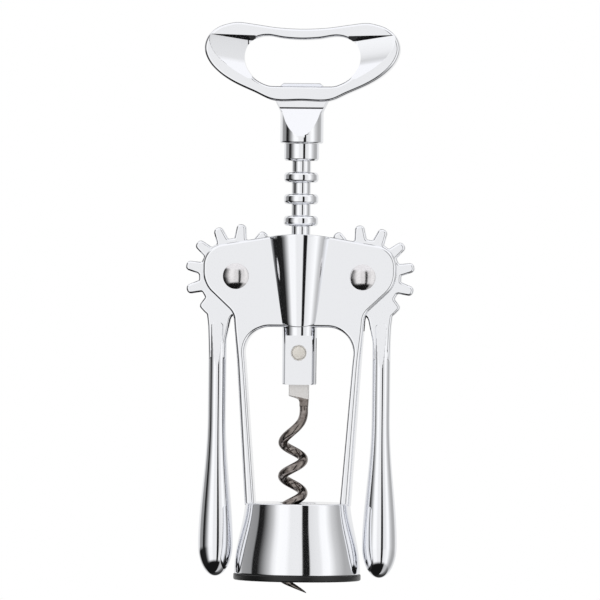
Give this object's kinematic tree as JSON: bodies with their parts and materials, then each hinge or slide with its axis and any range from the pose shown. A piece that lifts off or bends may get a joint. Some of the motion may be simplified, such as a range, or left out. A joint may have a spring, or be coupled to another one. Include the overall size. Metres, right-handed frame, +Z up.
{
  "type": "lever corkscrew",
  "caption": "Hand-held bottle opener: a bell sits on the bottle, a turned worm bores into the cork and swinging toothed levers draw it out; the handle lifts caps.",
  "frame": {"origin": "centre of the bell's rim, in the plane of the face that sits on the bottle", "axes": "+Z up along the spindle to the handle, +X to the right-hand lever's pivot, front towards -Y"},
  "size_m": [0.069, 0.0384, 0.1718],
  "materials": {
    "polished_chrome": "polished",
    "satin_steel": "satin",
    "worm_steel": "polished",
    "black_plastic": "matte"
  },
  "bodies": {
    "frame": {"frame": "polished_chrome", "bell_liner": "black_plastic", "left_pivot_rivet": "satin_steel", "right_pivot_rivet": "satin_steel", "left_rivet_cap": "satin_steel", "right_rivet_cap": "satin_steel"},
    "right_lever": {"right_lever": "polished_chrome"},
    "left_lever": {"left_lever": "polished_chrome"},
    "rack": {"rack": "polished_chrome"},
    "spindle": {"worm_holder": "polished_chrome", "worm": "worm_steel", "worm_pin": "satin_steel", "handle": "polished_chrome"}
  },
  "joints": [
    {"name": "right_lever_swing", "type": "hinge", "parent": "frame", "child": "right_lever", "pos_m": [0.0191, 0, 0.0913], "axis": [0, -1, 0], "range_deg": [0, 115]},
    {"name": "left_lever_swing", "type": "hinge", "parent": "frame", "child": "left_lever", "pos_m": [-0.0191, 0, 0.0913], "axis": [0, 1, 0], "range_deg": [0, 115.2]},
    {"name": "rack_slide", "type": "slide", "parent": "frame", "child": "rack", "axis": [0, 0, -1], "range_m": [0, 0.0272]},
    {"name": "handle_turn", "type": "hinge", "parent": "rack", "child": "spindle", "pos_m": [0, 0, 0.131], "axis": [0, 0, 1], "continuous": true}
  ],
  "couplings": [
    {"joint": "left_lever_swing", "follows": "right_lever_swing", "ratio": 1},
    {"joint": "rack_slide", "follows": "right_lever_swing", "m_per_rad": 0.013531}
  ]
}
